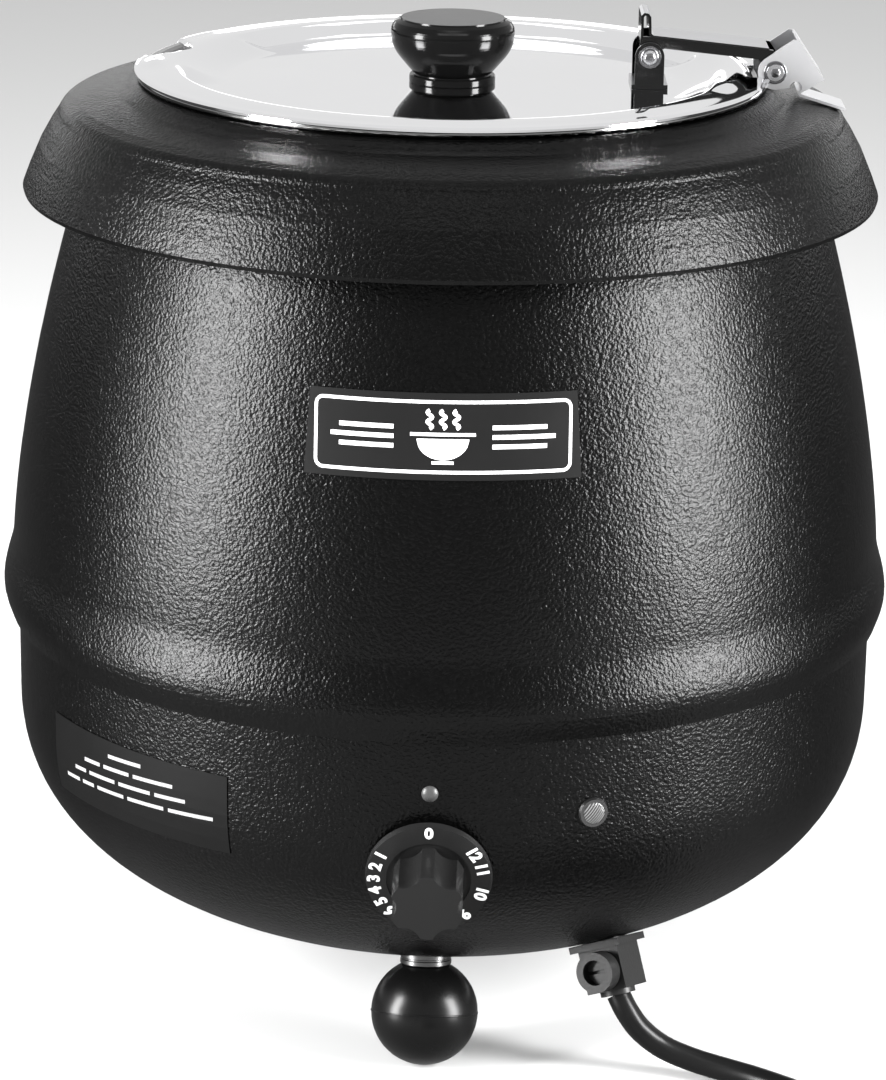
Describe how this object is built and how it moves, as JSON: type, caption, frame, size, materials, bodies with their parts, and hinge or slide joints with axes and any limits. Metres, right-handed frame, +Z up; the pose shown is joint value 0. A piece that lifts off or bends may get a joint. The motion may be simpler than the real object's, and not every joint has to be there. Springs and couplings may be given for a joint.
{
  "type": "soup kettle",
  "caption": "Round electric soup kettle with a lift-out pot, hinged mirror lid with a ladle notch, thermostat dial, ball feet and a mains cord.",
  "frame": {"origin": "middle of the kettle's plan, dial included, on the surface it stands on", "axes": "+Z up along the kettle's axis, -Y towards the dial, +X towards the lid hinge"},
  "size_m": [0.3725, 0.4525, 0.3814],
  "materials": {
    "shell_coat": "semi-gloss wrinkle powder coat",
    "bowl_coat": "semi-gloss wrinkle powder coat",
    "collar_coat": "semi-gloss wrinkle powder coat",
    "well_steel": "satin",
    "seal_rubber": "matt silicone",
    "jacket_fibre": "glass fibre felt",
    "plate_aluminium": "cast",
    "element_sheath": "dark oxidised sheath",
    "terminal_brass": "plain",
    "cutout_ceramic": "matt",
    "fastener_steel": "zinc plated",
    "cover_zinc": "zinc coated sheet",
    "ball_black": "polished phenolic",
    "collar_black": "satin",
    "thermostat_ivory": "moulded",
    "sensor_copper": "copper",
    "block_white": "moulded",
    "lens_clear": "ribbed pilot lens",
    "bezel_dark": "satin",
    "index_grey": "dull",
    "badge_black": "printed plate",
    "label_black": "printed film",
    "gland_black": "moulded",
    "cord_rubber": "smooth",
    "tie_black": "nylon",
    "plug_black": "moulded",
    "blade_brass": "plain",
    "pot_steel": "satin inside, bright rim",
    "hinge_steel": "satin pressing",
    "arm_steel": "polished",
    "pin_steel": "turned",
    "lid_mirror": "mirror polished stainless steel",
    "knob_black": "polished phenolic",
    "dial_black": "satin with white figures"
  },
  "bodies": {
    "kettle_base": {"upper_shell": "shell_coat", "base_bowl": "bowl_coat", "rim_collar": "collar_coat", "water_well": "well_steel", "well_gasket": "seal_rubber", "insulation_jacket": "jacket_fibre", "heater_plate": "plate_aluminium", "heating_element": "element_sheath", "element_terminals": "terminal_brass", "thermal_cutout": "cutout_ceramic", "tie_rod": "fastener_steel", "tie_nut": "fastener_steel", "bottom_cover": "cover_zinc", "cover_screws": "fastener_steel", "foot_balls": "ball_black", "foot_collars": "collar_black", "foot_studs": "fastener_steel", "foot_nuts": "fastener_steel", "thermostat_body": "thermostat_ivory", "sensor_bulb": "sensor_copper", "capillary_tube": "sensor_copper", "terminal_block": "block_white", "terminal_screws": "terminal_brass", "earth_stud": "terminal_brass", "lamp_lens": "lens_clear", "lamp_bezel": "bezel_dark", "lamp_body": "block_white", "dial_index": "index_grey", "front_badge": "badge_black", "caution_label": "label_black", "cord_gland": "gland_black", "gland_screw": "gland_black", "gland_nut": "gland_black", "power_cord": "cord_rubber", "cord_coil": "cord_rubber", "cord_tie": "tie_black", "plug_body": "plug_black", "plug_blades": "blade_brass", "plug_earth_pin": "blade_brass"},
    "soup_pot": {"soup_pot": "pot_steel", "clip_bracket": "hinge_steel", "clip_pin": "pin_steel"},
    "hinge_arm": {"hinge_arm": "arm_steel"},
    "lid": {"lid_panel": "lid_mirror", "lid_bracket": "arm_steel", "lid_rivets": "pin_steel", "arm_pin": "pin_steel", "lid_knob": "knob_black", "knob_screw": "fastener_steel"},
    "thermostat_dial": {"dial": "dial_black", "dial_spindle": "fastener_steel"}
  },
  "joints": [
    {"name": "pot_lift", "type": "slide", "parent": "kettle_base", "child": "soup_pot", "axis": [0, 0, 1], "range_m": [0, 0.27]},
    {"name": "arm_hinge", "type": "hinge", "parent": "soup_pot", "child": "hinge_arm", "pos_m": [0.1194, 0.00812, 0.3603], "axis": [0, 1, 0], "range_deg": [0, 80]},
    {"name": "lid_tilt", "type": "hinge", "parent": "hinge_arm", "child": "lid", "pos_m": [0.0729, 0.00812, 0.3652], "axis": [0, 1, 0], "range_deg": [-5.8, 0]},
    {"name": "dial_turn", "type": "hinge", "parent": "kettle_base", "child": "thermostat_dial", "pos_m": [-0.00397, -0.15432, 0.101], "axis": [0.0239, 0.9779, 0.2079], "range_deg": [0, 305]}
  ],
  "couplings": [
    {"joint": "lid_tilt", "follows": "arm_hinge", "ratio": -0.07}
  ]
}
